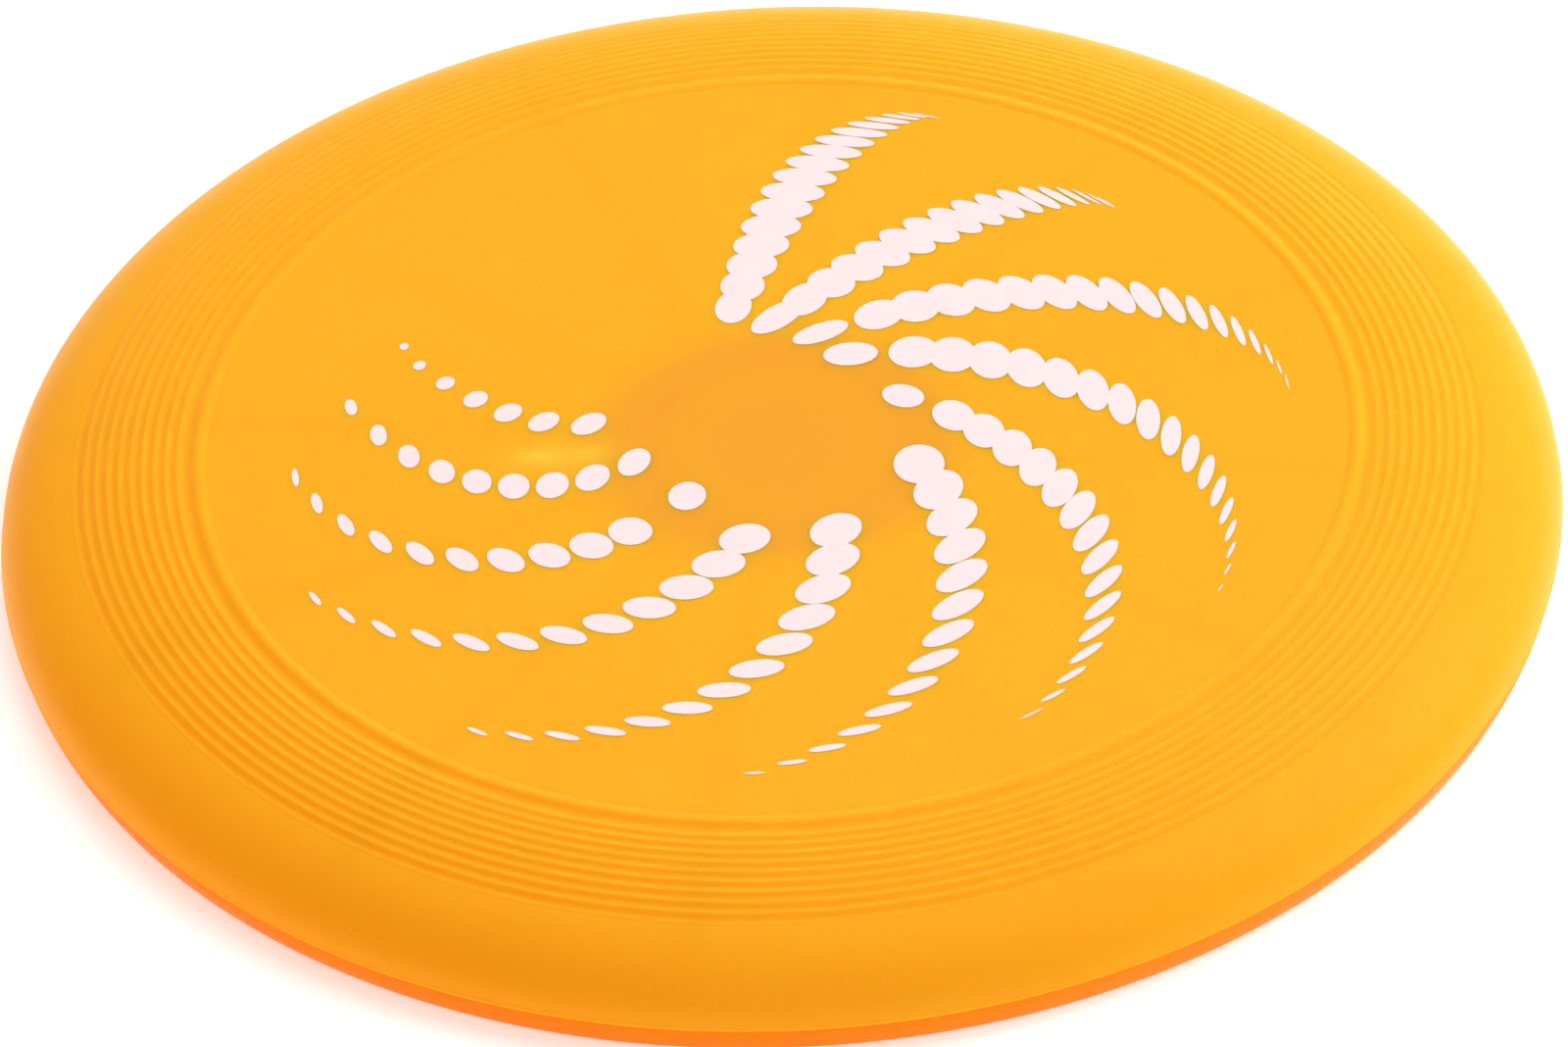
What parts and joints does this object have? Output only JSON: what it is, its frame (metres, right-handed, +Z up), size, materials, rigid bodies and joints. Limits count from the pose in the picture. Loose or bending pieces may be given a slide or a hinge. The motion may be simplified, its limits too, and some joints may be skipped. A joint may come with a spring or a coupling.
{
  "type": "flying disc",
  "caption": "Light-up flying disc: translucent ridged plate with a dotted swirl print, rolled rim and a sealed lamp hub underneath with a push button.",
  "frame": {"origin": "centre of the circle that the rim rests on, at the lowest point", "axes": "+Z up through the plate, +X along one light guide"},
  "size_m": [0.23, 0.23, 0.0199],
  "materials": {
    "orange_plastic": "satin translucent orange moulding",
    "white_ink": "opaque white pad print",
    "clear_fibre": "clear acrylic optical fibre",
    "white_plastic": "white diffusing moulding",
    "clear_acrylic": "clear polished acrylic",
    "hub_plastic": "fine matt moulding",
    "black_rubber": "moulded rubber",
    "board_laminate": "solder mask over laminate",
    "led_white": "white package with a yellow window",
    "chip_black": "moulded package",
    "chip_ceramic": "fired ceramic",
    "capacitor_tan": "fired ceramic",
    "tray_plastic": "fine matt moulding",
    "spring_brass": "bent phosphor bronze strip",
    "nickel_steel": "nickel-plated spring strip",
    "cell_steel": "turned stainless can",
    "cap_steel": "stainless cap",
    "seal_nylon": "nylon seal",
    "switch_black": "moulded switch base",
    "switch_steel": "stamped steel frame",
    "plunger_black": "moulded plunger",
    "cover_plastic": "fine spark-eroded moulding",
    "screw_steel": "zinc-plated steel",
    "button_rubber": "soft-touch rubber",
    "retainer_plastic": "moulded snap ring"
  },
  "bodies": {
    "disc": {"disc_shell": "orange_plastic", "printed_swirl": "white_ink", "light_guides": "clear_fibre", "light_guide_collar": "white_plastic", "light_cone": "clear_acrylic", "hub_housing": "hub_plastic", "hub_gasket": "black_rubber", "circuit_board": "board_laminate", "led": "led_white", "controller_chip": "chip_black", "chip_resistors": "chip_ceramic", "chip_capacitor": "capacitor_tan", "battery_tray": "tray_plastic", "board_contact_springs": "spring_brass", "coin_cell_cans": "cell_steel", "coin_cell_caps": "cap_steel", "coin_cell_seals": "seal_nylon", "switch_body": "switch_black", "switch_frame": "switch_steel"},
    "hub_cover": {"hub_cover": "cover_plastic", "cover_screws": "screw_steel", "battery_bridge_plate": "nickel_steel", "button_retainer": "retainer_plastic"},
    "push_button": {"push_button": "button_rubber"},
    "switch_plunger": {"switch_plunger": "plunger_black"}
  },
  "joints": [
    {"name": "hub_cover_lift_off", "type": "slide", "parent": "disc", "child": "hub_cover", "axis": [0, 0, -1], "range_m": [0, 0.005]},
    {"name": "push_button_press", "type": "slide", "parent": "hub_cover", "child": "push_button", "axis": [0, 0, 1], "range_m": [0, 0.0006], "stiffness_N_per_m": 1200},
    {"name": "switch_plunger_travel", "type": "slide", "parent": "disc", "child": "switch_plunger", "axis": [0, 0, 1], "range_m": [0, 0.0003]}
  ],
  "couplings": [
    {"joint": "switch_plunger_travel", "follows": "push_button_press", "ratio": 0.5}
  ]
}
